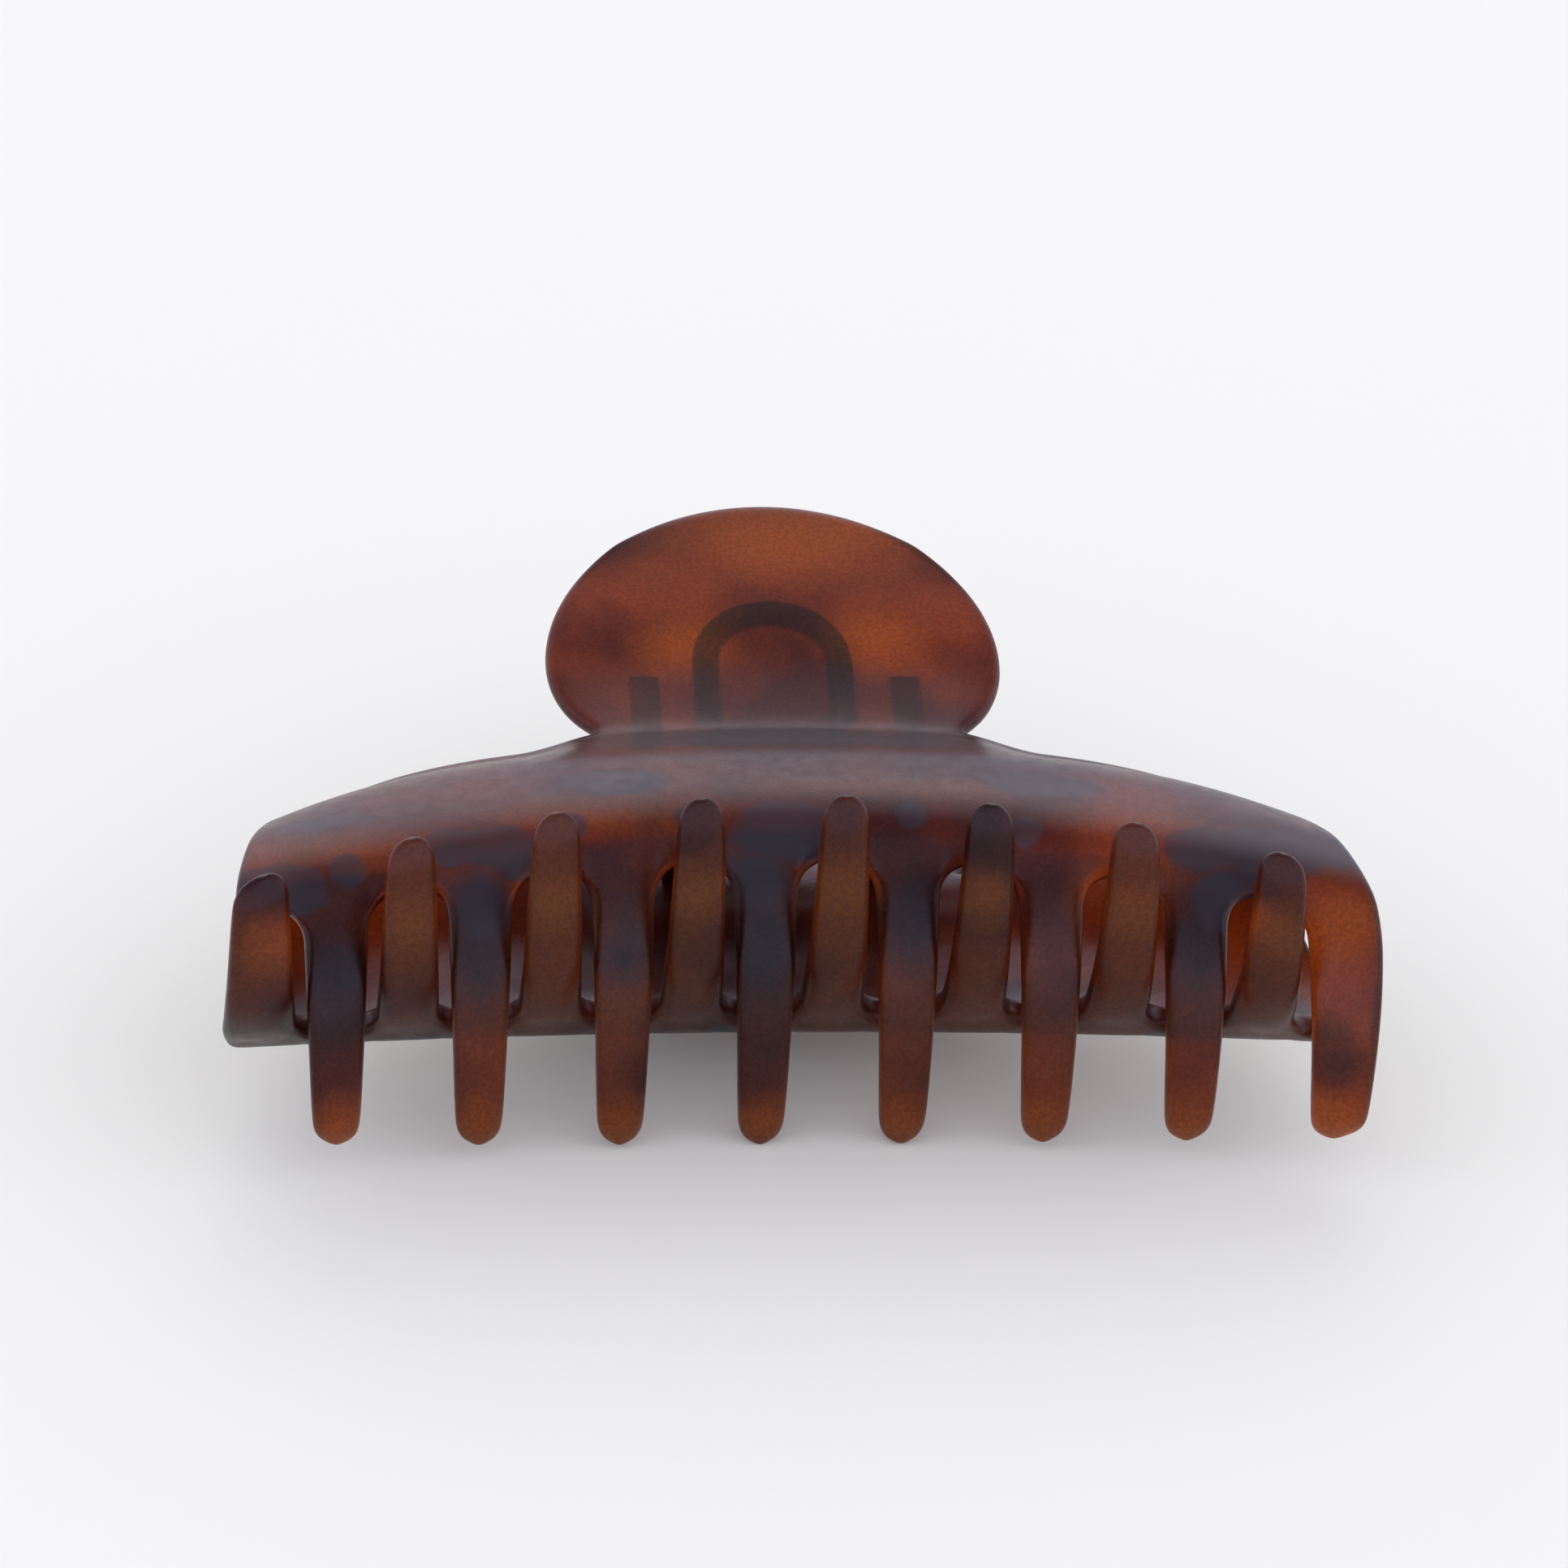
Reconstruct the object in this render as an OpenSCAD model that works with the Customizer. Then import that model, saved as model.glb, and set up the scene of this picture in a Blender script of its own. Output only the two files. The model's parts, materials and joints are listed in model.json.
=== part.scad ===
// Claw hair clip: two interlocking moulded jaws, a hinge pin and a double torsion spring.
// The clip lies on its back. X runs along the hinge, the thumb tabs point to +Y and the teeth to -Y.
// The upper jaw rests on its tooth tips and the lower jaw on the edge of its thumb tab.
// The origin is on that resting surface, under the middle of the clip.

/* [Clip] */
// Length along the hinge, end tooth to end tooth
clip_length = 110; // [106:1:114]
// Height of the hinge axis, which is also how far each tooth tip and tab edge reach from it
hinge_height = 19; // [18:0.5:20]
// How far the middle of the clip lies in front of the hinge axis
hinge_offset = 5.25; // [5.1:0.05:5.4]

/* [Shell] */
// Wall thickness at the bulge of a jaw
wall = 2.6; // [2.2:0.1:2.8]
// How far the ends of a jaw bow towards the tooth side
bow_forward = 7; // [4:0.5:8]
// Share of its height that a jaw loses at its ends
bow_flat = 0.24; // [0.15:0.01:0.25]
// How far the shoulder drops at the ends of the shell
shoulder_drop = 6.5; // [3:0.5:6.5]
// Extra height of the broad fillet that carries the tab on the shell
web_rise = 1.7; // [1:0.1:1.8]

/* [Teeth] */
// Distance from one tooth to the next on the same jaw
tooth_pitch = 13.6; // [13.4:0.1:13.8]
// Width of a tooth at its root
tooth_w = 6.2; // [6:0.1:6.4]
// How much narrower a tooth is where its rounded tip begins
tooth_taper = 2; // [1:0.1:2.4]

/* [Thumb tab] */
// Half of the tab's width at its widest
tab_half_w = 23; // [20:0.2:24]
// Half of the neck's width where the tab leaves the shell
neck_half_w = 18; // [16.5:0.1:18.5]

/* [Hinge] */
// Diameter of the hinge pin
pin_d = 2; // [1.8:0.1:2.2]
// Radial clearance of the upper jaw's bores on the pin
running_gap = 0.05; // [0.03:0.01:0.08]
// Radius of the round end of each lug
lug_r = 2.5; // [2.3:0.1:2.7]
// Thickness of each lug
lug_t = 3; // [2.6:0.1:3]
// Distance from the middle of the clip to the inner face of the inner lugs
lug_inner_x = 8.4; // [8.2:0.1:8.6]

/* [Spring] */
// Diameter of the spring wire
wire_d = 1; // [0.8:0.1:1]
// Radius of the wire's arch on the upper tab
arch_r = 5.8; // [5.6:0.1:6]
// Distance from the tab's root to the centre of the arch
arch_rise = 11.2; // [9:0.2:12]
// Whole turns in each of the two coils
coil_turns = 4; // [3:1:4]

/* [Hidden] */
$fn = 48;

reach = hinge_height;
teeth = 8;
end_x = clip_length / 2;
blunt_end_x = end_x - 1.3;
bow_x = 51;
gap_half_w = (tooth_pitch - tooth_w) / 2;
tooth_1_x = 51 - (teeth - 1) * tooth_pitch;

// Outer section of a jaw at mid length as [distance from the centre plane, distance behind the hinge].
// It runs from the tab's edge over the tab, shoulder and bulge, and down a tooth to its tip.
section = [
    [reach, 31], [16.4, 23.4], [13.8, 15.9], [10.7, 8.3], [7.7, 0.6],
    [8.3, -2], [10, -5.1], [11.8, -9.6], [12.4, -15.2], [12.6, -20.6], [11.6, -24.6], [8.9, -27],
    [5.7, -29.8], [0.6, -32.5], [-6.2, -34.1], [-14, -34.6], [-reach - 0.097, -34.2]
];
tab_spans = 4;
tip_s = len(section) - 1 - tab_spans;
gap_root_s = 6.9;
gap_corner_s = 7.6;
tab_span = 8.1;

// Wall thickness along the section, as [place on the section, thickness]
walls = [[-4, 1.6], [-3, 2.1], [0, 2], [2, wall], [7, wall + 0.2], [9, wall + 0.5], [11, 2.8], [12, 2.2]];

// Mesh: columns along X, rows from the tab's edge to the tooth tips
tab_rows = 8;
shell_rows = 9;
tooth_rows = 8;
rows = tab_rows + shell_rows + tooth_rows;
end_cols = 4;
cols = end_cols + teeth * 8 - 4;
neck_col_a = end_cols + 2 * 8 + 2;
neck_col_b = end_cols + 4 * 8 + 6;

// --- Curves ---

function clamp01(v) = max(0, min(1, v));
function mix(a, b, t) = a + (b - a) * t;

// Smooth curve through a list of points, at place v from 0 to len(p) - 1
function spline(p, v) =
    let (
        k = max(0, min(len(p) - 2, floor(v))),
        t = v - k,
        p0 = k > 0 ? p[k - 1] : 2 * p[0] - p[1],
        p1 = p[k],
        p2 = p[k + 1],
        p3 = k < len(p) - 2 ? p[k + 2] : 2 * p[k + 1] - p[k]
    )
    (2 * p1 + (p2 - p0) * t + (2 * p0 - 5 * p1 + 4 * p2 - p3) * t * t
        + (3 * p1 - p0 - 3 * p2 + p3) * t * t * t) / 2;

function unit(v) = v / norm(v);

// Extra height of the fillet between tab and shell at length x and section place s
function smooth(t) =
    let (c = clamp01(t))
    c * c * (3 - 2 * c);
function web(x, s) =
    web_rise * smooth(1 - abs(s - 0.3) / (s < 0.3 ? 1.6 : 2.6)) * smooth((26 - abs(x)) / 9);

// Outward normal of the section at place s, where s = 0 is the valley between tab and shell
function section_normal(s) =
    let (
        v = s + tab_spans,
        d = spline(section, min(len(section) - 1, v + 0.05)) - spline(section, max(0, v - 0.05)),
        t = unit(d)
    )
    [-t[1], t[0]];

// Point of a jaw at length x and section place s, sunk below the outer skin by depth.
// Jaws bow forward and get flatter towards their ends, where the shoulder also rounds off.
function jaw_point(x, s, depth) =
    let (
        c = spline(section, s + tab_spans) - depth * section_normal(s),
        u = x / bow_x,
        shoulder = s < 0 ? 1 : clamp01(1 - s / 4)
    )
    [
        x,
        c[1] - bow_forward * u * u,
        c[0] * (1 - bow_flat * u * u) - shoulder_drop * pow(abs(u), 6) * shoulder + web(x, s)
    ];

// --- Jaw mesh ---

// Column i as [x at the teeth, height of the gap's arch there, tooth number or undef, place across tooth]
function column(i) =
    i < end_cols ? [
        [-blunt_end_x, 1.7], [-blunt_end_x + 1.2, 1.2], [-blunt_end_x + 2.8, 1],
        [tooth_1_x - tooth_w / 2 - 1.1, 0.7]
    ][i] :
    let (
        k = floor((i - end_cols) / 8),
        m = (i - end_cols) % 8,
        x = tooth_1_x + k * tooth_pitch,
        t = (m - 2) / 2,
        a = sin(45 * (m - 6)),
        edge = k == teeth - 1 && t > 0 ? end_x - x : tooth_w / 2
    )
    m <= 4 ? [x + t * edge, 0, k, t]
        : [x + tooth_pitch / 2 + a * gap_half_w, sqrt(max(0, 1 - a * a))];

// Column x at the hinge-side edge of the shell, where the neck's corners are on columns
function edge_x(x) =
    let (
        neck_x = 17,
        far = x < 0 ? blunt_end_x : end_x,
        edge_end = 47.7
    )
    abs(x) <= neck_x ? x * neck_half_w / neck_x
        : sign(x) * mix(neck_half_w, edge_end, (abs(x) - neck_x) / (far - neck_x));

// Outline of the tab at an angle, as [x, share of the tab's length]
function tab_outline(angle) =
    [tab_half_w * cos(angle), 0.36 + (angle > 0 ? 0.64 : 0.54) * sin(angle)];

// Place on the tab for p across from -1 to 1 and q up from 0 to 1, as [x, share of the tab's length]
function tab_place(p, q) =
    let (
        low = -asin(0.36 / 0.54),
        top_angle = 50,
        right = q == 0 ? [neck_half_w, 0] : tab_outline(mix(low, top_angle, q)),
        left = [-right[0], right[1]],
        bottom = [neck_half_w * p, 0],
        top = tab_outline(90 - (90 - top_angle) * p),
        corner = tab_outline(top_angle),
        h = (p + 1) / 2
    )
    mix(bottom, top, q) + mix(left, right, h)
        - mix([neck_half_w * p, 0], [corner[0] * p, corner[1]], q);

// Half width of a tooth at share r of its length, and the rows' spacing, which closes up at the tip
function tooth_half_w(r) =
    (tooth_w / 2 - tooth_taper / 2 * pow(r, 1.4))
    * (r > 0.86 ? pow(1 - pow((r - 0.86) / 0.142, 2.4), 1 / 2.4) : 1);
function tooth_share(v) = 1 - pow(1 - v, 1.5);

// Place of mesh point (i, j) as [x, section place, place across tooth]
function mesh_place(i, j) =
    let (c = column(i))
    j < tab_rows ? (
        let (
            p = mix(-1, 1, (i - neck_col_a) / (neck_col_b - neck_col_a)),
            t = tab_place(p, 1 - j / tab_rows)
        )
        [t[0], -tab_spans * t[1], 0]
    ) :
    j <= tab_rows + shell_rows ? (
        let (
            v = (j - tab_rows) / shell_rows,
            last = mix(gap_corner_s, gap_root_s, c[1]),
            w = pow(1 - pow(1 - v, 2), 1.7)
        )
        [mix(edge_x(c[0]), c[0], w), last * v, is_undef(c[3]) ? 0 : c[3]]
    ) : (
        let (
            r = tooth_share((j - tab_rows - shell_rows) / tooth_rows),
            k = is_undef(c[2]) ? 0 : c[2],
            t = is_undef(c[3]) ? 0 : c[3],
            x = tooth_1_x + k * tooth_pitch,
            outer = k == teeth - 1 && t > 0 ? (end_x - x) / (tooth_w / 2) : 1
        )
        [x + t * outer * tooth_half_w(r), mix(gap_corner_s, tip_s, r), t]
    );

function has_cell(i, j) =
    i >= 0 && i < cols && j >= 0 && j < rows &&
    (j < tab_rows ? i >= neck_col_a && i < neck_col_b
        : j < tab_rows + shell_rows ? true
        : i >= end_cols && (i - end_cols) % 8 < 4);

// Closed shell: outer skin, inner skin and the rims between them.
// Teeth are crowned across their width and rounded over at their tips.
module jaw_shell() {
    crown = 0.5;
    stride = rows + 1;
    inner = (cols + 1) * stride;
    function at(i, j) = i * stride + j;
    places = [for (i = [0:cols]) for (j = [0:rows]) mesh_place(i, j)];
    function crowned(q) = crown * q[2] * q[2] * clamp01((q[1] - 6.4) / 2);
    function rounded(q) = pow(clamp01(q[1] - tip_s + 1), 2);
    outer_points = [for (q = places) jaw_point(q[0], q[1], crowned(q) + 0.9 * rounded(q))];
    inner_points = [
        for (q = places)
            jaw_point(q[0], q[1], lookup(q[1], walls) - crowned(q) / 2 - 0.3 * rounded(q))
    ];
    function quad(a, b, c, d) = [[a, b, c], [a, c, d]];
    cells = [for (i = [0:cols - 1]) for (j = [0:rows - 1]) if (has_cell(i, j)) [i, j]];
    faces = [
        for (c = cells)
            let (
                i = c[0],
                j = c[1],
                a = at(i, j),
                b = at(i + 1, j),
                d = at(i, j + 1),
                e = at(i + 1, j + 1)
            )
            each concat(
                quad(a, b, e, d),
                quad(inner + a, inner + d, inner + e, inner + b),
                has_cell(i, j - 1) ? [] : quad(b, a, inner + a, inner + b),
                has_cell(i, j + 1) ? [] : quad(d, e, inner + e, inner + d),
                has_cell(i - 1, j) ? [] : quad(a, d, inner + d, inner + a),
                has_cell(i + 1, j) ? [] : quad(e, b, inner + b, inner + e)
            )
    ];
    polyhedron(concat(outer_points, inner_points), faces, convexity = 10);
}

// --- Sweeps ---

// Normal vectors along a path that turn no more than the path does
function path_tangent(path, i) = unit(path[min(len(path) - 1, i + 1)] - path[max(0, i - 1)]);
function square_to(n, t) = unit(n - (n * t) * t);
function path_normals(path, first) = [
    for (i = 0, n = square_to(first, path_tangent(path, 0)); i < len(path);
        i = i + 1, n = i < len(path) ? square_to(n, path_tangent(path, i)) : n) n
];

// Solid tube along a path; four sides make a square bar whose corners lie at radius r
module sweep(path, r, sides, first) {
    normals = path_normals(path, first);
    last = (len(path) - 1) * sides;
    points = [
        for (i = [0:len(path) - 1])
            let (n = normals[i], b = cross(path_tangent(path, i), n))
            for (k = [0:sides - 1])
                path[i] + r * (cos(360 * (k + 0.5) / sides) * n + sin(360 * (k + 0.5) / sides) * b)
    ];
    faces = concat(
        [[for (k = [0:sides - 1]) k]],
        [[for (k = [sides - 1:-1:0]) last + k]],
        [
            for (i = [0:len(path) - 2])
                for (k = [0:sides - 1])
                    let (a = i * sides + k, b = i * sides + (k + 1) % sides)
                    each [[a, a + sides, b + sides], [a, b + sides, b]]
        ]
    );
    polyhedron(points, faces, convexity = 10);
}

// Arch on the inner face of a tab: a straight leg at +x, half a circle, and the leg at -x.
// The path lies lift above the face.
function arch_path(radius, low, lift) =
    let (
        steps = 8,
        leg = [for (k = [0:4]) [radius, mix(low, arch_rise, k / 5)]],
        bend = [for (k = [0:steps * 2]) let (a = 90 * k / steps) [radius * cos(a), arch_rise + radius * sin(a)]],
        back = [for (k = [4:-1:0]) [-radius, mix(low, arch_rise, k / 5)]]
    )
    [
        for (q = concat(leg, bend, back))
            let (s = -q[1] / tab_span)
            jaw_point(q[0], s, lookup(s, walls) + lift)
    ];

// --- Lugs and pieces ---

// Lug plate from x to x + lug_t: round end about the pin and a gusset up the tab's inner face
module lug(x) {
    translate([x, 0, 0]) rotate([0, 90, 0]) cylinder(r = lug_r, h = lug_t);
    translate([x, 0, 0]) rotate([90, 0, 90]) linear_extrude(lug_t)
        polygon([[-lug_r, 0], [lug_r, 0], [10, 8.3], [9.2, 9.6], [1, 8.1], [-1.6, 8.3]]);
}

// One jaw about its hinge axis, with its lugs' inner faces at inner_x and bores of bore_d
module jaw(inner_x, bore_d) {
    rib_r = arch_r + 1.4;
    rib_w = 1.3;
    rib_corner_r = rib_w / sqrt(2);
    difference() {
        union() {
            jaw_shell();
            sweep(arch_path(rib_r, 2, 0.3), rib_corner_r, 4, [0, 0, 1]);
            lug(inner_x);
            lug(-inner_x - lug_t);
        }
        translate([-end_x, 0, 0]) rotate([0, 90, 0]) cylinder(d = bore_d, h = clip_length);
    }
}

module at_hinge() {
    translate([0, hinge_offset, hinge_height]) children();
}

module upper_jaw() {
    lug_gap = 0.2;
    color("saddlebrown") at_hinge() jaw(lug_inner_x + lug_t + lug_gap, pin_d + 2 * running_gap);
}

module lower_jaw() {
    color("sienna") at_hinge() rotate([0, 180, 0]) jaw(lug_inner_x, pin_d);
}

// Pin with a flat head at one end and a rounded nose at the other
module hinge_pin() {
    lug_outer_x = lug_inner_x + 2 * lug_t + 0.2;
    head_r = pin_d * 0.8;
    head_h = 0.8;
    clearance = 0.2;
    nose = 0.6;
    color("silver") at_hinge() rotate([0, 90, 0]) translate([0, 0, -lug_outer_x - clearance])
        rotate_extrude()
            polygon([
                [0, -head_h], [head_r * 0.7, -head_h], [head_r, -head_h / 2], [head_r, 0], [pin_d / 2, 0],
                [pin_d / 2, 2 * lug_outer_x + clearance], [pin_d / 4, 2 * lug_outer_x + clearance + nose],
                [0, 2 * lug_outer_x + clearance + nose]
            ]);
}

// Double torsion spring: two coils on the pin, an arch between them on the upper tab,
// and two free legs on the lower tab. The path is one half, from the free leg to the arch.
module torsion_spring() {
    coil_r = pin_d / 2 + 0.25 + wire_d / 2;
    leg_x = 1.2;
    leave = 132;
    sweep_angle = 360 - 2 * leave + 360 * coil_turns;
    steps = 12 * (coil_turns + 1);
    lift = wire_d / 2 + 0.12;
    leg = [
        for (d = [13, 10, 7, 4])
            let (s = -d / tab_span, q = jaw_point(leg_x, s, lookup(s, walls) + lift))
            [q[0], q[1], -q[2]]
    ];
    coil = [
        for (k = [0:steps])
            let (a = -leave - sweep_angle * k / steps)
            [mix(leg_x, arch_r, k / steps), coil_r * cos(a), coil_r * sin(a)]
    ];
    arch = arch_path(arch_r, 4, lift);
    half = concat(leg, coil);
    other_half = [for (k = [len(half) - 1:-1:0]) [-half[k][0], half[k][1], half[k][2]]];
    color("gainsboro") at_hinge() sweep(concat(half, arch, other_half), wire_d / 2, 8, [1, 0, 0]);
}

upper_jaw();
lower_jaw();
hinge_pin();
torsion_spring();
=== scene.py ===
"""Claw clip: moulded tortoiseshell jaws, hinge pin and torsion spring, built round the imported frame."""

import json
import math

import bpy
from mathutils import Matrix, Vector


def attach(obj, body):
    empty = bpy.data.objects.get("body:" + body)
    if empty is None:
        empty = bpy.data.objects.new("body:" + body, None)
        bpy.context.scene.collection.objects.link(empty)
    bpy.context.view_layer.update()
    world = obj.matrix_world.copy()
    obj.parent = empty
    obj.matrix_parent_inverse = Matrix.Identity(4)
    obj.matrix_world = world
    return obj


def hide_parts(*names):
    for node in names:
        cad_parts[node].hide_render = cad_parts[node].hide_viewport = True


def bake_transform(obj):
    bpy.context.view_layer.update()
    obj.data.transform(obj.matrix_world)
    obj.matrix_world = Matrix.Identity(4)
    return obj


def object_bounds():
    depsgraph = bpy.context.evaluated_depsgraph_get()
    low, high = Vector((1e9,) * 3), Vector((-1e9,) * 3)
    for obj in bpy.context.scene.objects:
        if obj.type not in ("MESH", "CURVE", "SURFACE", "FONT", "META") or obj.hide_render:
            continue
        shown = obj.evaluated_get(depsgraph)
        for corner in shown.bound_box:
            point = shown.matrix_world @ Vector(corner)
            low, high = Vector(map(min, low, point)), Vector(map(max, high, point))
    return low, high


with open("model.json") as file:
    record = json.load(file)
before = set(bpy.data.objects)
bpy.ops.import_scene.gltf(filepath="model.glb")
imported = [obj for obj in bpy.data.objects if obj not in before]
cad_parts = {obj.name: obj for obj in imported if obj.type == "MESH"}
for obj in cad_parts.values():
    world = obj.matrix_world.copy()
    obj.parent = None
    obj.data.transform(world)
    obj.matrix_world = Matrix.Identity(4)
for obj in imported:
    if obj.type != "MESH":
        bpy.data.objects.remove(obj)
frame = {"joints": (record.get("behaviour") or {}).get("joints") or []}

cad_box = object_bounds()

MM = 0.001
hinge = Vector(frame["joints"][0]["pos_m"])
UPPER, LOWER = "upper_body", "lower_body"

# ---------------------------------------------------------------- sizes, in mm
CLIP_LENGTH = (cad_box[1].x - cad_box[0].x) / MM
REACH = hinge.z / MM
PIN_D = 2.0
WIRE_D = 1.0
LUG_R = 2.5
LUG_T = 3.0
LUG_INNER_X = 8.4
LUG_GAP = 0.2
RUNNING_FIT = 0.1
PIN_CLEAR = 0.2
ARCH_R = 5.8
ARCH_RISE = 11.2
COIL_TURNS = 4
COIL_CLEARANCE = 0.25
WIRE_CLEARANCE = 0.12
LEG_X = 1.2
RIB_OUT = 1.4
RIB_LOW = 2
RIB_LIFT = 0.35
RIB_RADIUS = 0.9

WALL = 2.6
BOW_X = 51.0
BOW_FORWARD = 7.0
BOW_FLAT = 0.24
SHOULDER_DROP = 6.5
SHOULDER_POWER = 6
SHOULDER_END_S = 4

# Fillet between tab and shell: height, section place, reach each way, and where it fades along the hinge
WEB_RISE = 1.7
WEB_S = 0.3
WEB_REACH_TAB = 1.6
WEB_REACH_SHELL = 2.6
WEB_END_X = 26
WEB_FADE = 9

TEETH = 8
TOOTH_PITCH = 13.6
TOOTH_W = 6.2
TOOTH_TAPER = 2.0
TAPER_POWER = 1.4
TOOTH_CROWN = 0.55
CROWN_START_S = 6.2
TIP_START = 0.86
TIP_LENGTH = 0.142
TIP_POWER = 2.4
TIP_ROUND_OUTER = 0.9
TIP_ROUND_INNER = 0.3
LAST_TOOTH_X = 51.0
END_X = CLIP_LENGTH / 2
BLUNT_END_X = END_X - 1.3
GAP_HALF_W = (TOOTH_PITCH - TOOTH_W) / 2
TOOTH_1_X = LAST_TOOTH_X - (TEETH - 1) * TOOTH_PITCH
GAP_0_X = TOOTH_1_X - TOOTH_PITCH / 2

TAB_HALF_W = 23.0
TAB_WIDEST = 0.36
TAB_RISE = 0.64
TAB_FALL = 0.54
TAB_CORNER_DEG = 50
NECK_HALF_W = 18.0
NECK_GRID_X = 17.0
EDGE_END = 47.7

# Outer section at mid length as (distance from the centre plane, distance behind the hinge),
# from the tab's edge over the tab, shoulder and bulge, and down a tooth to its tip.
SECTION = [
    (REACH, 31), (16.4, 23.4), (13.8, 15.9), (10.7, 8.3), (7.7, 0.6),
    (8.3, -2), (10, -5.1), (11.8, -9.6), (12.4, -15.2), (12.6, -20.6), (11.6, -24.6), (8.9, -27),
    (5.7, -29.8), (0.6, -32.5), (-6.2, -34.1), (-14, -34.6), (-REACH - 0.097, -34.2),
]
TAB_SPANS = 4
TAB_SPAN = 8.1
TIP_S = len(SECTION) - 1 - TAB_SPANS
GAP_ROOT_S = 6.9
GAP_CORNER_S = 7.6
# Wall thickness at each section place
WALLS = [
    (-4, 1.7), (-3, 2.1), (0, 2.0), (2, WALL), (7, WALL + 0.2), (9, WALL + 0.5), (11, 2.8), (12, 2.2),
]

# Mesh density: cells across each feature, before subdivision, and how far rows crowd to one end
TOOTH_CELLS = 4
GAP_CELLS = 6
TAB_ROWS = 12
SHELL_ROWS = 15
TOOTH_ROWS = 13
SHELL_CROWDING = 1.7
TOOTH_CROWDING = 1.5
END_OFFSETS = [0, 0.9, 2.0, 3.2, 4.4, 5.4]
END_CELLS = len(END_OFFSETS)


# ---------------------------------------------------------------- curves
def mix(a, b, t):
    return a + (b - a) * t


def clamp01(v):
    return max(0.0, min(1.0, v))


def spline(points, v):
    """Smooth curve through points at place v from 0 to len(points) - 1."""
    k = max(0, min(len(points) - 2, math.floor(v)))
    t = v - k
    p1, p2 = Vector(points[k]), Vector(points[k + 1])
    p0 = Vector(points[k - 1]) if k > 0 else 2 * p1 - p2
    p3 = Vector(points[k + 2]) if k < len(points) - 2 else 2 * p2 - p1
    return (
        2 * p1 + (p2 - p0) * t + (2 * p0 - 5 * p1 + 4 * p2 - p3) * t * t
        + (3 * p1 - p0 - 3 * p2 + p3) * t ** 3
    ) / 2


def lookup(key, table):
    """Straight-line value from a list of (key, value)."""
    for (k0, v0), (k1, v1) in zip(table, table[1:]):
        if key <= k1:
            return mix(v0, v1, clamp01((key - k0) / (k1 - k0)))
    return table[-1][1]


def smooth(t):
    t = clamp01(t)
    return t * t * (3 - 2 * t)


def web(x, s):
    """Extra height of the fillet between tab and shell, in mm."""
    reach = WEB_REACH_TAB if s < WEB_S else WEB_REACH_SHELL
    return WEB_RISE * smooth(1 - abs(s - WEB_S) / reach) * smooth((WEB_END_X - abs(x)) / WEB_FADE)


def section_normal(s):
    """Outward normal of the section, from a short step each way."""
    v = s + TAB_SPANS
    step = 0.05
    d = spline(SECTION, min(len(SECTION) - 1, v + step)) - spline(SECTION, max(0, v - step))
    d.normalize()
    return Vector((-d.y, d.x))


def jaw_point(x, s, depth):
    """Point of a jaw about its hinge, sunk below the outer skin by depth, in mm."""
    c = spline(SECTION, s + TAB_SPANS) - depth * section_normal(s)
    u = x / BOW_X
    shoulder = 1 if s < 0 else clamp01(1 - s / SHOULDER_END_S)
    return Vector((
        x,
        c.y - BOW_FORWARD * u * u,
        c.x * (1 - BOW_FLAT * u * u) - SHOULDER_DROP * abs(u) ** SHOULDER_POWER * shoulder + web(x, s),
    ))


def wall_at(s):
    return lookup(s, WALLS)


# ---------------------------------------------------------------- jaw mesh
def column_table():
    """Columns of the jaw's grid.

    Each is (x at the teeth, gap arch height, tooth or None, place across the tooth).
    """
    columns = []
    run = TOOTH_1_X - TOOTH_W / 2 + BLUNT_END_X
    for offset in END_OFFSETS:
        over = offset / (run - GAP_HALF_W)
        if over < 1:
            arch = 1 + (1 - over) ** 2
        else:
            arch = math.sqrt(max(0, 1 - ((offset - (run - GAP_HALF_W)) / GAP_HALF_W) ** 2))
        columns.append((-BLUNT_END_X + offset, arch, None, 0))
    for k in range(TEETH):
        x = TOOTH_1_X + k * TOOTH_PITCH
        for m in range(TOOTH_CELLS + 1):
            t = 2 * m / TOOTH_CELLS - 1
            edge = END_X - x if k == TEETH - 1 and t > 0 else TOOTH_W / 2
            columns.append((x + t * edge, 0, k, t))
        if k < TEETH - 1:
            for m in range(1, GAP_CELLS):
                a = -math.cos(math.pi * m / GAP_CELLS)
                columns.append((x + TOOTH_PITCH / 2 + a * GAP_HALF_W, math.sqrt(1 - a * a), None, 0))
    return columns


COLUMNS = column_table()
ROWS = TAB_ROWS + SHELL_ROWS + TOOTH_ROWS
FIRST_TOOTH_ROW = TAB_ROWS + SHELL_ROWS
COLS = len(COLUMNS) - 1
NECK_A = END_CELLS + 2 * (TOOTH_CELLS + GAP_CELLS) + TOOTH_CELLS // 2
NECK_B = END_CELLS + 4 * (TOOTH_CELLS + GAP_CELLS) + TOOTH_CELLS + GAP_CELLS // 2


def edge_x(x):
    """Column x at the hinge-side edge of the shell, where the neck's corners are on columns."""
    if abs(x) <= NECK_GRID_X:
        return x * NECK_HALF_W / NECK_GRID_X
    far = BLUNT_END_X if x < 0 else END_X
    return math.copysign(mix(NECK_HALF_W, EDGE_END, (abs(x) - NECK_GRID_X) / (far - NECK_GRID_X)), x)


def tab_outline(angle):
    """Point of the oval tab's edge as (x, share of the tab's length)."""
    rise = TAB_RISE if angle > 0 else TAB_FALL
    return Vector((TAB_HALF_W * math.cos(angle), TAB_WIDEST + rise * math.sin(angle)))


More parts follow.
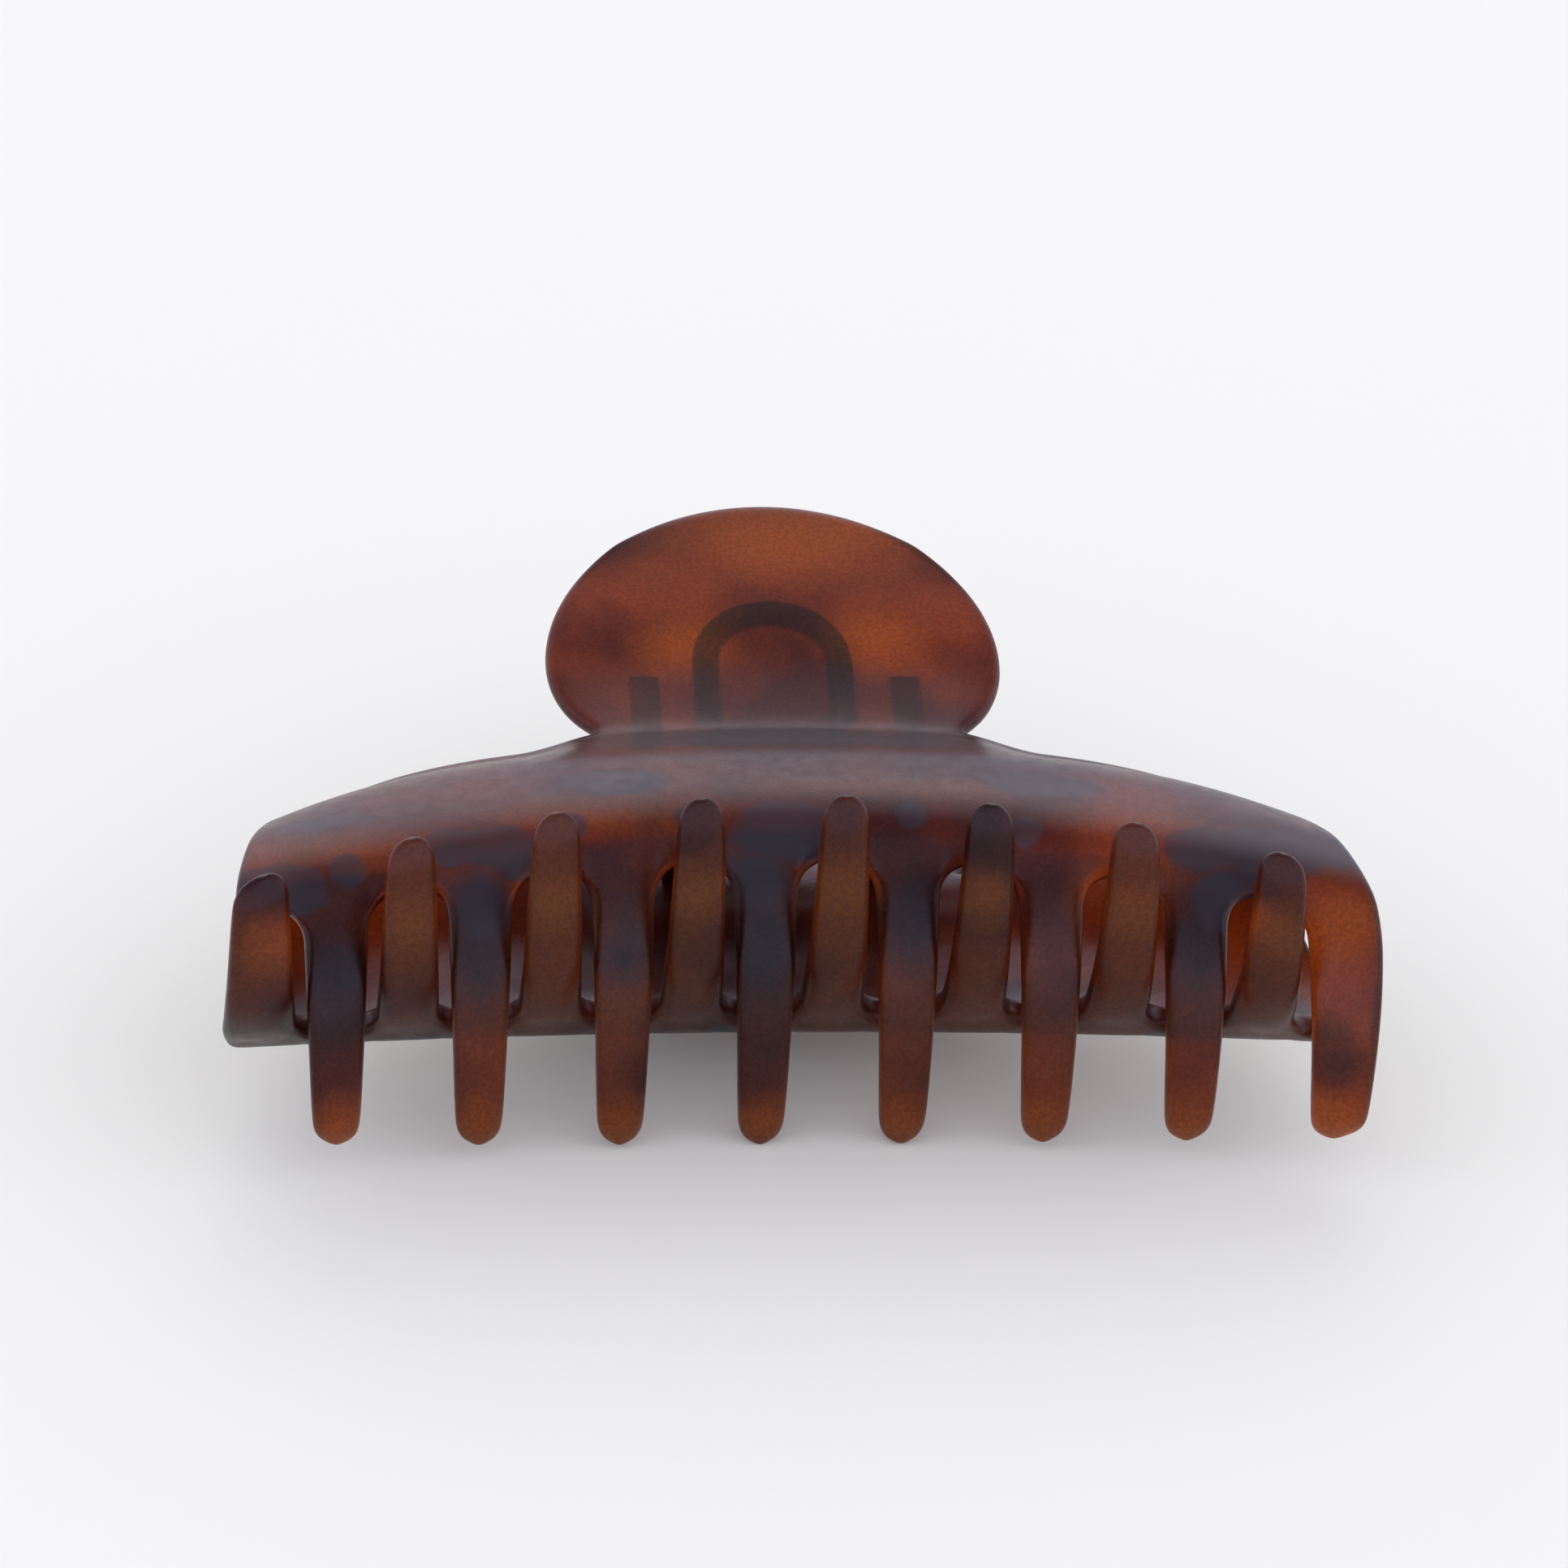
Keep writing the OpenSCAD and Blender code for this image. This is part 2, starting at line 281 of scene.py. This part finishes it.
def tab_place(p, q):
    """Place on the tab as (x, share of its length), for p across from -1 to 1 and q up from 0 to 1."""
    low = -math.asin(TAB_WIDEST / TAB_FALL)
    top_angle = math.radians(TAB_CORNER_DEG)
    right = Vector((NECK_HALF_W, 0)) if q == 0 else tab_outline(mix(low, top_angle, q))
    left = Vector((-right.x, right.y))
    corner = tab_outline(top_angle)
    top = tab_outline(math.pi / 2 - (math.pi / 2 - top_angle) * p)
    bottom = Vector((NECK_HALF_W * p, 0))
    corners = Vector((NECK_HALF_W * p, 0)).lerp(Vector((corner.x * p, corner.y)), q)
    return bottom.lerp(top, q) + left.lerp(right, (p + 1) / 2) - corners


def tooth_half_w(r):
    """Half width of a tooth at r from its root at 0 to its round tip at 1."""
    tip = 1
    if r > TIP_START:
        tip = (1 - ((r - TIP_START) / TIP_LENGTH) ** TIP_POWER) ** (1 / TIP_POWER)
    return (TOOTH_W / 2 - TOOTH_TAPER / 2 * r ** TAPER_POWER) * tip


def mesh_place(i, j):
    """Grid point as (x, section place, place across the tooth)."""
    x, arch, tooth, t = COLUMNS[i]
    if j < TAB_ROWS:
        p = mix(-1, 1, (i - NECK_A) / (NECK_B - NECK_A))
        tx, share = tab_place(p, 1 - j / TAB_ROWS)
        return tx, -TAB_SPANS * share, 0
    if j <= FIRST_TOOTH_ROW:
        v = (j - TAB_ROWS) / SHELL_ROWS
        w = (1 - (1 - v) ** 2) ** SHELL_CROWDING
        return mix(edge_x(x), x, w), mix(GAP_CORNER_S, GAP_ROOT_S, arch) * v, t
    r = 1 - (1 - (j - FIRST_TOOTH_ROW) / TOOTH_ROWS) ** TOOTH_CROWDING
    centre = TOOTH_1_X + tooth * TOOTH_PITCH
    outer = (END_X - centre) / (TOOTH_W / 2) if tooth == TEETH - 1 and t > 0 else 1
    return centre + t * outer * tooth_half_w(r), mix(GAP_CORNER_S, TIP_S, r), t


def has_cell(i, j):
    if not (0 <= i < COLS and 0 <= j < ROWS):
        return False
    if j < TAB_ROWS:
        return NECK_A <= i < NECK_B
    if j < FIRST_TOOTH_ROW:
        return True
    return COLUMNS[i][2] is not None and COLUMNS[i + 1][2] == COLUMNS[i][2]


def jaw_shell():
    """Vertices and quads of a jaw about its hinge, in mm: outer skin, inner skin and the rims between."""
    verts, faces, index = [], [], {}

    def vertex(i, j, side):
        if (i, j, side) not in index:
            x, s, t = mesh_place(i, j)
            crown = TOOTH_CROWN * t * t * clamp01((s - CROWN_START_S) / 2)
            rounded = clamp01(s - TIP_S + 1) ** 2
            if side == 0:
                depth = crown + TIP_ROUND_OUTER * rounded
            else:
                depth = wall_at(s) - crown / 2 - TIP_ROUND_INNER * rounded
            index[i, j, side] = len(verts)
            verts.append(jaw_point(x, s, depth))
        return index[i, j, side]

    for i in range(COLS):
        for j in range(ROWS):
            if not has_cell(i, j):
                continue
            ring = [(i, j), (i, j + 1), (i + 1, j + 1), (i + 1, j)]
            beside = [(i - 1, j), (i, j + 1), (i + 1, j), (i, j - 1)]
            faces.append([vertex(*c, 0) for c in ring])
            faces.append([vertex(*c, 1) for c in reversed(ring)])
            for (a, b), other in zip(zip(ring, ring[1:] + ring[:1]), beside):
                if not has_cell(*other):
                    faces.append([vertex(*b, 0), vertex(*a, 0), vertex(*a, 1), vertex(*b, 1)])
    return verts, faces


# ---------------------------------------------------------------- sweeps, lugs and lathes
def sweep(path, radius, sides, first):
    """Vertices and faces of a closed tube along a path, whose ring turns no more than the path does."""
    verts, faces = [], []
    normal = Vector(first)
    count = len(path)
    for i, centre in enumerate(path):
        tangent = (path[min(count - 1, i + 1)] - path[max(0, i - 1)]).normalized()
        normal = (normal - normal.dot(tangent) * tangent).normalized()
        side = tangent.cross(normal)
        for k in range(sides):
            a = 2 * math.pi * (k + 0.5) / sides
            verts.append(centre + radius * (math.cos(a) * normal + math.sin(a) * side))
    for i in range(count - 1):
        for k in range(sides):
            a, b = i * sides + k, i * sides + (k + 1) % sides
            faces.append([a, b, b + sides, a + sides])
    faces.append(list(reversed(range(sides))))
    faces.append([(count - 1) * sides + k for k in range(sides)])
    return verts, faces


def arch_path(radius, low, lift):
    """Arch on a tab's inner face: a leg at +x, half a circle, and the leg at -x, lift above the face."""
    leg_steps, turn_steps = 6, 24
    leg = [(radius, mix(low, ARCH_RISE, k / leg_steps)) for k in range(leg_steps)]
    turn = [math.pi * k / turn_steps for k in range(turn_steps + 1)]
    bend = [(radius * math.cos(a), ARCH_RISE + radius * math.sin(a)) for a in turn]
    back = [(-x, y) for x, y in reversed(leg)]
    path = []
    for x, y in leg + bend + back:
        s = -y / TAB_SPAN
        path.append(jaw_point(x, s, wall_at(s) + lift))
    return path


def lug(x, bore_d):
    """Lug plate from x to x + LUG_T with a round end about the pin, a gusset up the tab and a real bore."""
    outline = [(10, 8.3), (9.2, 9.6), (1, 8.1), (-1.6, 8.3), (-LUG_R, 1.2)]
    arc_steps = 22
    for k in range(arc_steps + 1):
        a = mix(math.pi, 2 * math.pi, k / arc_steps)
        outline.append((LUG_R * math.cos(a), LUG_R * math.sin(a)))
    count = len(outline)
    bevel = 0.25
    verts, faces = [], []
    centre = Vector((sum(p[0] for p in outline) / count, sum(p[1] for p in outline) / count))

    def ring(points, depth):
        start = len(verts)
        verts.extend(Vector((x + depth, y, z)) for y, z in points)
        return start

    def inset(points):
        return [tuple(Vector(p) + bevel * (centre - Vector(p)).normalized()) for p in points]

    hole = []
    for y, z in outline:
        a = math.atan2(z, y)
        hole.append((bore_d / 2 * math.cos(a), bore_d / 2 * math.sin(a)))
    rings = [
        ring(hole, 0), ring(inset(outline), 0), ring(outline, bevel),
        ring(outline, LUG_T - bevel), ring(inset(outline), LUG_T), ring(hole, LUG_T),
    ]
    for a, b in zip(rings, rings[1:] + rings[:1]):
        for k in range(count):
            n = (k + 1) % count
            faces.append([a + k, b + k, b + n, a + n])
    return verts, faces


def lathe(profile, start_x, sides=40):
    """Closed solid of revolution about the hinge axis from (distance along, radius) points."""
    verts, faces = [], []
    for along, radius in profile:
        for k in range(sides):
            a = 2 * math.pi * k / sides
            verts.append(Vector((start_x + along, radius * math.cos(a), radius * math.sin(a))))
    for i in range(len(profile) - 1):
        for k in range(sides):
            a, b = i * sides + k, i * sides + (k + 1) % sides
            faces.append([a, a + sides, b + sides, b])
    faces.append([k for k in range(sides)])
    faces.append([(len(profile) - 1) * sides + k for k in reversed(range(sides))])
    return verts, faces


def piece(name, parts, material, turned=False, levels=0):
    """Makes one object from (verts, faces) parts given in mm about the hinge.

    A turned piece is given half a turn about Y, and levels is its number of subdivisions.
    """
    flip = -1 if turned else 1
    verts, faces = [], []
    for part_verts, part_faces in parts:
        base = len(verts)
        for v in part_verts:
            verts.append(hinge + MM * Vector((flip * v.x, v.y, flip * v.z)))
        faces.extend([base + i for i in face] for face in part_faces)
    mesh = bpy.data.meshes.new(name)
    mesh.from_pydata(verts, [], faces)
    mesh.update()
    mesh.polygons.foreach_set("use_smooth", [True] * len(mesh.polygons))
    mesh.materials.append(material)
    obj = bpy.data.objects.new(name, mesh)
    bpy.context.scene.collection.objects.link(obj)
    if levels:
        subdivision = obj.modifiers.new("smooth", "SUBSURF")
        subdivision.levels = levels
        subdivision.render_levels = levels
    return obj


# ---------------------------------------------------------------- materials
class Nodes:
    """Short way to add and link shader nodes."""

    def __init__(self, name):
        self.material = bpy.data.materials.new(name)
        self.material.use_nodes = True
        self.tree = self.material.node_tree
        self.tree.nodes.clear()

    def add(self, kind, inputs=None, **settings):
        node = self.tree.nodes.new("ShaderNode" + kind)
        for key, value in settings.items():
            setattr(node, key, value)
        for key, value in (inputs or {}).items():
            if isinstance(value, bpy.types.NodeSocket):
                self.tree.links.new(value, node.inputs[key])
            else:
                node.inputs[key].default_value = value
        return node

    def noise(self, place, scale, detail, roughness=0.5):
        inputs = {"Vector": place, "Scale": scale, "Detail": detail, "Roughness": roughness}
        return self.add("TexNoise", inputs).outputs["Fac"]

    def math(self, operation, a, b):
        return self.add("Math", {0: a, 1: b}, operation=operation).outputs[0]

    def blend(self, factor, a, b, blend_type="MIX"):
        node = self.add("Mix", data_type="RGBA", blend_type=blend_type)
        for key, value in ((0, factor), (6, a), (7, b)):
            if isinstance(value, bpy.types.NodeSocket):
                self.tree.links.new(value, node.inputs[key])
            else:
                node.inputs[key].default_value = value
        return node.outputs[2]

    def ramp(self, value, stops):
        node = self.add("ValToRGB", {0: value})
        elements = node.color_ramp.elements
        while len(elements) < len(stops):
            elements.new(0.5)
        for element, (place, colour) in zip(elements, stops):
            element.position = place
            element.color = colour
        return node.outputs[0]

    def smooth_range(self, value, low, high, out_low, out_high):
        inputs = {0: value, 1: low, 2: high, 3: out_low, 4: out_high}
        return self.add("MapRange", inputs, interpolation_type="SMOOTHSTEP").outputs[0]

    def finish(self, shader):
        out = self.add("OutputMaterial")
        self.tree.links.new(shader.outputs[0], out.inputs[0])
        return self.material


# Dark spots in the acetate and, last in the upper list, a band of painted shade, as (x, section place, half
# length along x, half length across, soft edge):
# the section place counts points of SECTION from the neck towards the teeth, the rest is in mm
UPPER_SPOTS_AND_NECK_SHADE = [
    (-49.5, 6.3, 4.6, 3.2, 0.5), (-43.2, 6.1, 2.1, 2.1, 0.35), (-33.5, 5.8, 2.6, 2.4, 0.4),
    (-30.5, 6.0, 4.6, 2.4, 0.5), (-27.5, 6.3, 3.0, 3.0, 0.6), (-30.5, 7.6, 3.2, 3.4, 1.8),
    (-22.0, 5.7, 1.9, 1.9, 0.35), (-44.5, 4.2, 4.8, 1.8, 0.8), (-17.5, 4.2, 5.6, 3.2, 0.7),
    (-11.0, 5.6, 1.8, 1.6, 0.4), (-0.8, 6.2, 6.2, 3.4, 0.6), (-4.0, 7.4, 3.4, 3.4, 1.8),
    (10.8, 5.6, 1.8, 1.8, 0.4), (21.5, 5.8, 2.0, 2.0, 0.35), (24.0, 4.1, 6.4, 3.0, 0.7),
    (32.2, 5.8, 2.2, 2.1, 0.35), (38.5, 5.6, 4.4, 3.0, 0.6), (45.0, 5.3, 6.0, 4.2, 0.8),
    (51.0, 4.6, 5.0, 4.0, 0.8), (40.0, 7.2, 3.2, 3.2, 0.9), (-50.5, 4.8, 0.8, 0.8, 0.25),
    # painted shade: a dark band along the valley between the tab and the shell
    (0.0, 2.2, 17.0, 2.2, 1.2),
]
LOWER_SPOTS = [
    (-46.0, 5.2, 5.4, 3.6, 0.7), (-36.0, 6.2, 2.2, 2.2, 0.4), (-25.0, 4.6, 6.0, 3.0, 0.7),
    (-13.0, 5.9, 2.0, 2.0, 0.4), (-3.0, 4.9, 5.2, 3.2, 0.7), (6.5, 6.2, 2.2, 2.2, 0.4),
    (17.0, 5.4, 5.6, 3.2, 0.6), (27.5, 4.4, 2.2, 2.2, 0.4), (36.0, 5.8, 5.0, 3.0, 0.7),
    (47.0, 5.0, 4.4, 3.6, 0.6), (3.0, -2.6, 6.0, 3.4, 1.2),
]


# Painted shade: darker brown on the upper teeth near their roots, round the gaps between the lower teeth
# and along the neck's valley, as in the lists of spots
UPPER_PAINTED_SHADE = [
    (-30.6, 8.6, 3.6, 6.0, 4.0), (-3.4, 8.8, 3.6, 6.0, 4.0), (10.2, 8.2, 3.6, 5.5, 4.0),
    (37.4, 8.4, 3.6, 5.5, 4.0), (-17.0, 8.8, 3.6, 3.0, 2.6), (51.0, 10.2, 3.6, 2.8, 2.4),
    (-44.2, 8.6, 3.4, 2.6, 2.2), (0.0, 1.4, 19.0, 3.4, 2.4),
]
LOWER_PAINTED_SHADE = [(GAP_0_X + TOOTH_PITCH * k, 8.6, 4.0, 3.6, 3.0) for k in range(TEETH)]

# Painted glow: brighter orange where light shining through the sheet from behind is painted, on the tab,
# along the shell and at the tooth tips, as in the lists of spots
UPPER_PAINTED_GLOWS = [
    (2.0, -3.3, 13.0, 6.0, 5.0), (-9.0, -1.5, 5.0, 4.0, 3.5), (10.0, -1.6, 5.0, 4.5, 4.0),
    (-44.0, 5.2, 9.0, 3.0, 2.5), (-20.0, 5.3, 9.0, 2.6, 2.0), (9.0, 4.6, 12.0, 2.4, 2.0),
    (30.0, 5.2, 7.0, 2.4, 2.0), (51.0, 7.4, 4.0, 3.6, 3.0), (28.0, 7.6, 3.0, 3.0, 2.5),
] + [(TOOTH_1_X + TOOTH_PITCH * k, 11.4, 3.0, 3.6, 3.0) for k in range(TEETH)]
LOWER_PAINTED_GLOWS = [(TOOTH_1_X + TOOTH_PITCH * k, 10.4, 3.2, 3.4, 3.0) for k in range(TEETH)]

# colour of the dark spots, lifted to a bluish grey that is painted sheen
SPOT_AND_SHEEN_COLOUR = (0.080, 0.072, 0.096, 1)
# colour and share of the painted shade
PAINTED_SHADE_COLOUR = (0.022, 0.009, 0.008, 1)
PAINTED_SHADE_SHARE = 0.85
# colour and share of the painted glow of light through the sheet
PAINTED_GLOW_COLOUR = (0.44, 0.13, 0.012, 1)
PAINTED_GLOW_SHARE = 0.8
AMBER_STOPS = [
    (0.38, (0.075, 0.012, 0.003, 1)), (0.48, (0.16, 0.032, 0.005, 1)), (0.60, (0.29, 0.068, 0.009, 1)),
]
BODY_TINT = (0.85, 0.45, 0.25, 1)
BODY_DENSITY = 700.0
WOBBLE = 1.6
LUG_TONE = 0.15


def tortoiseshell(name, spots_and_shade, painted_shade, painted_glows, turned, tone=1.0):
    """Matte translucent acetate: amber and rust cloud, dark soft-edged spots, frosted grain.

    The lists are blobs on the jaw's skin, turned with the jaw: dark spots, painted shade, and painted glow
    of light through the sheet; the spot colour is partly painted sheen, and tone darkens all but the spots.
    """
    n = Nodes(name)
    place = n.add("TexCoord").outputs["Object"]
    flip = -1 if turned else 1

    cloud = n.noise(place, 55.0, 3.0, 0.5)
    wobble = n.add("TexNoise", {"Vector": place, "Scale": 330.0, "Detail": 2.0}).outputs["Color"]
    shift = n.add("VectorMath", {0: wobble, 1: (-0.5, -0.5, -0.5)}, operation="ADD").outputs[0]
    shift = n.add("VectorMath", {0: shift, 3: WOBBLE * MM}, operation="SCALE").outputs[0]
    warped = n.add("VectorMath", {0: place, 1: shift}, operation="ADD").outputs[0]

    def mask_of(blobs):
        total = None
        for x, s, half_x, half_across, soft in blobs:
            p = jaw_point(x, s, wall_at(s) / 3)
            centre = hinge + MM * Vector((flip * p.x, p.y, flip * p.z))
            away = n.add("VectorMath", {0: warped, 1: tuple(-centre)}, operation="ADD").outputs[0]
            ratio = half_x / half_across
            scaled = n.add("VectorMath", {0: away, 1: (1 / ratio, 1, 1)}, operation="MULTIPLY").outputs[0]
            far = n.add("VectorMath", {0: scaled}, operation="LENGTH").outputs["Value"]
            mask = n.smooth_range(far, (half_across - soft) * MM, (half_across + 0.6 * soft) * MM, 1.0, 0.0)
            total = mask if total is None else n.math("MAXIMUM", total, mask)
        return total

    speckle = n.noise(place, 2400.0, 2.0, 0.7)
    amber = n.ramp(cloud, AMBER_STOPS)
    # painted glow: brighter orange where light through the sheet from behind is painted
    amber = n.blend(n.math("MULTIPLY", mask_of(painted_glows), PAINTED_GLOW_SHARE), amber, PAINTED_GLOW_COLOUR)
    # painted shade: darker brown at the teeth, between them and in the neck's valley
    amber = n.blend(n.math("MULTIPLY", mask_of(painted_shade), PAINTED_SHADE_SHARE), amber, PAINTED_SHADE_COLOUR)
    grain = n.smooth_range(speckle, 0.35, 0.65, 0.72, 1.12)
    grain_colour = n.add("CombineColor", {0: grain, 1: grain, 2: grain}).outputs[0]
    amber = n.blend(1.0, amber, grain_colour, "MULTIPLY")
    amber = n.blend(1.0, amber, (tone, tone, tone, 1), "MULTIPLY")
    # dark spots, their bluish grey partly painted sheen; the upper neck band among them is painted shade
    colour = n.blend(mask_of(spots_and_shade), amber, SPOT_AND_SHEEN_COLOUR)

    rough_noise = n.noise(place, 700.0, 3.0)
    roughness = n.smooth_range(rough_noise, 0.3, 0.7, 0.28, 0.36)
    frost = n.noise(place, 5200.0, 2.0)
    bump = n.add("Bump", {"Height": frost, "Strength": 0.10, "Distance": 0.05 * MM}).outputs[0]
    shader = n.add("BsdfPrincipled", {
        "Base Color": colour,
        "Roughness": roughness,
        "IOR": 1.31,
        "Specular Tint": (0.84, 0.87, 1.0, 1),
        "Transmission Weight": 0.82,
        "Normal": bump,
    })
    material = n.finish(shader)
    absorb = n.add("VolumeAbsorption", {"Color": BODY_TINT, "Density": BODY_DENSITY})
    n.tree.links.new(absorb.outputs[0], n.tree.nodes["Material Output"].inputs["Volume"])
    return material


def steel(name, colour, roughness_low, roughness_high, stretch):
    """Drawn or turned steel with fine marks, stretched along the hinge or round the wire."""
    n = Nodes(name)
    place = n.add("TexCoord").outputs["Object"]
    marks_at = n.add("VectorMath", {0: place, 1: stretch}, operation="MULTIPLY").outputs[0]
    marks = n.noise(marks_at, 1500.0, 4.0)
    tone = n.noise(place, 220.0, 2.0)
    dark = tuple(0.8 * c for c in colour[:3]) + (1,)
    shader = n.add("BsdfPrincipled", {
        "Base Color": n.ramp(tone, [(0.35, dark), (0.65, colour)]),
        "Metallic": 1.0,
        "Roughness": n.smooth_range(marks, 0.3, 0.7, roughness_low, roughness_high),
        "Normal": n.add("Bump", {"Height": marks, "Strength": 0.15, "Distance": 0.02 * MM}).outputs[0],
    })
    return n.finish(shader)


# ---------------------------------------------------------------- pieces
def build_jaws():
    """Both jaws: the moulding, and its rib and lugs in darker acetate with one blob of each kind."""
    rib = sweep(arch_path(ARCH_R + RIB_OUT, RIB_LOW, RIB_LIFT), RIB_RADIUS, 10, (0, 0, 1))
    upper_blobs = (UPPER_SPOTS_AND_NECK_SHADE, UPPER_PAINTED_SHADE, UPPER_PAINTED_GLOWS)
    lower_blobs = (LOWER_SPOTS, LOWER_PAINTED_SHADE, LOWER_PAINTED_GLOWS)
    upper_lug_x = LUG_INNER_X + LUG_T + LUG_GAP
    for body, node, inner_x, bore_d, blobs, turned in (
        (UPPER, "upper_jaw", upper_lug_x, PIN_D + RUNNING_FIT, upper_blobs, False),
        (LOWER, "lower_jaw", LUG_INNER_X, PIN_D, lower_blobs, True),
    ):
        material = tortoiseshell(node + "_acetate", *blobs, turned)
        jaw = piece(node + "_moulding", [jaw_shell()], material, turned, levels=2)
        thick = tortoiseshell(node + "_lug_acetate", *(b[-1:] for b in blobs), turned, tone=LUG_TONE)
        lugs = [lug(inner_x, bore_d), lug(-inner_x - LUG_T, bore_d)]
        details = piece(node + "_lugs", [rib] + lugs, thick, turned)
        for obj in (jaw, details):
            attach(obj, body)
            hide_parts(node)


def on_side(path, side):
    """The path itself for side 1, and its mirror image across the middle of the hinge for side -1."""
    return [Vector((side * p.x, p.y, p.z)) for p in path]


def build_spring():
    """One wire in five pieces: an arch on the upper tab, two coils, two legs on the lower tab."""
    coil_r = PIN_D / 2 + COIL_CLEARANCE + WIRE_D / 2
    leave = math.radians(132)
    turned_by = 2 * math.pi - 2 * leave + 2 * math.pi * COIL_TURNS
    steps_per_turn = 28
    steps = steps_per_turn * (COIL_TURNS + 1)
    lift = WIRE_D / 2 + WIRE_CLEARANCE
    material = steel("spring_wire", (0.55, 0.54, 0.53, 1), 0.22, 0.38, (1, 4, 4))
    coil = []
    for k in range(steps + 1):
        a = -leave - turned_by * k / steps
        coil.append(Vector((mix(LEG_X, ARCH_R, k / steps), coil_r * math.cos(a), coil_r * math.sin(a))))
    leg = []
    for behind in (13, 10, 7, 4):
        s = -behind / TAB_SPAN
        p = jaw_point(LEG_X, s, wall_at(s) + lift)
        leg.append(Vector((p.x, p.y, -p.z)))
    arch_start = 4
    arch = arch_path(ARCH_R, arch_start, lift)
    first = (1, 0, 0)
    radius = WIRE_D / 2
    sides = 12
    made = []
    for side, name in ((1, "right"), (-1, "left")):
        coil_tube = sweep(on_side(coil, side), radius, sides, first)
        leg_tube = sweep(on_side(leg + coil[:2], side), radius, sides, first)
        coil_piece = piece("spring_coil_" + name, [coil_tube], material)
        leg_piece = piece("spring_leg_" + name, [leg_tube], material)
        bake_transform(coil_piece)
        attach(leg_piece, LOWER)
        made += [coil_piece, leg_piece]
    ends = coil[-2:]
    bridge = ends + arch + on_side(reversed(ends), -1)
    bridge_piece = piece("spring_arch", [sweep(bridge, radius, sides, first)], material)
    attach(bridge_piece, UPPER)
    for obj in made + [bridge_piece]:
        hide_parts("torsion_spring")


def build_pin():
    """Pin with a domed head at -x and a tapered nose at +x."""
    half = LUG_INNER_X + 2 * LUG_T + LUG_GAP + PIN_CLEAR
    head_r = PIN_D * 0.8
    head_h = 0.8
    r = PIN_D / 2
    nose = 0.5
    profile = [
        (-head_h, head_r * 0.3), (-head_h * 0.97, head_r * 0.62), (-head_h * 0.78, head_r * 0.88),
        (-head_h * 0.42, head_r), (-0.06, head_r), (0, head_r * 0.96), (0, r), (0.1, r),
        (2 * half - 0.4, r), (2 * half - 0.1, r * 0.9), (2 * half - 0.4 + nose, r * 0.6),
    ]
    material = steel("pin_steel", (0.62, 0.61, 0.6, 1), 0.2, 0.34, (6, 1, 1))
    pin = piece("hinge_pin_turned", [lathe(profile, -half)], material)
    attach(pin, LOWER)
    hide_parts("hinge_pin")


# ---------------------------------------------------------------- stage, light and camera
def build_stage():
    """Sheet of pale paper under the clip."""
    half = 4.0
    corners = [(-half, -half, 0), (half, -half, 0), (half, half, 0), (-half, half, 0)]
    mesh = bpy.data.meshes.new("floor")
    mesh.from_pydata(corners, [], [(0, 1, 2, 3)])
    floor = bpy.data.objects.new("floor", mesh)
    bpy.context.scene.collection.objects.link(floor)
    n = Nodes("paper")
    mesh.materials.append(n.finish(n.add("BsdfPrincipled", {
        "Base Color": (0.905, 0.925, 0.785, 1), "Roughness": 0.9, "Specular IOR Level": 0.1,
    })))


def sun(name, direction, strength, angle, colour):
    """Distant light that shines along direction, with its disc's angle in degrees."""
    light = bpy.data.lights.new(name, "SUN")
    light.energy = strength
    light.angle = math.radians(angle)
    light.color = colour
    obj = bpy.data.objects.new(name, light)
    obj.rotation_euler = Vector(direction).to_track_quat("-Z", "Y").to_euler()
    bpy.context.scene.collection.objects.link(obj)


def build_light():
    """Bright room, and one broad soft lamp above and behind the clip."""
    scene = bpy.context.scene
    world = bpy.data.worlds.new("studio")
    scene.world = world
    world.use_nodes = True
    tree = world.node_tree
    background = tree.nodes["Background"]
    direction = tree.nodes.new("ShaderNodeTexCoord").outputs["Generated"]
    split = tree.nodes.new("ShaderNodeSeparateXYZ")
    tree.links.new(direction, split.inputs[0])
    product = tree.nodes.new("ShaderNodeMath")
    product.operation = "MULTIPLY"
    # Bright all round, dim straight above, and a little brighter in front of the clip,
    # as (axis, from, to, strength before, strength after)
    changes = (("Z", 0.45, 0.97, 1.42, 0.48), ("Y", -0.8, 0.6, 1.4, 1.0))
    for socket, (axis, low, high, at_low, at_high) in enumerate(changes):
        brightness = tree.nodes.new("ShaderNodeMapRange")
        brightness.interpolation_type = "SMOOTHSTEP"
        for key, value in enumerate((low, high, at_low, at_high), 1):
            brightness.inputs[key].default_value = value
        tree.links.new(split.outputs[axis], brightness.inputs[0])
        tree.links.new(brightness.outputs[0], product.inputs[socket])
    tree.links.new(product.outputs[0], background.inputs["Strength"])
    background.inputs["Color"].default_value = (0.84, 0.82, 1.0, 1)
    sun("key", (0.08, -1.2, -1), 0.4, 50, (1, 0.97, 0.92))
    scene.view_settings.view_transform = "Standard"


def build_camera():
    """Camera in front and to the left, looking down at the clip with a long lens."""
    azimuth, elevation, roll = math.radians(-5.45), math.radians(28.1), math.radians(2.5)
    distance = 0.62
    lens = 142.9
    data = bpy.data.cameras.new("camera")
    camera = bpy.data.objects.new("camera", data)
    bpy.context.scene.collection.objects.link(camera)
    away = Vector((
        math.sin(azimuth) * math.cos(elevation),
        -math.cos(azimuth) * math.cos(elevation),
        math.sin(elevation),
    ))
    camera.location = hinge + distance * away
    facing = (-away).to_track_quat("-Z", "Y")
    camera.rotation_euler = (facing.to_matrix() @ Matrix.Rotation(roll, 3, "Z")).to_euler()
    data.lens = lens
    data.sensor_width = 36
    data.shift_x = 0.0045
    data.shift_y = 0.0155
    data.clip_start = 0.01
    bpy.context.scene.camera = camera


build_camera()
build_jaws()
build_spring()
build_pin()
build_stage()
build_light()
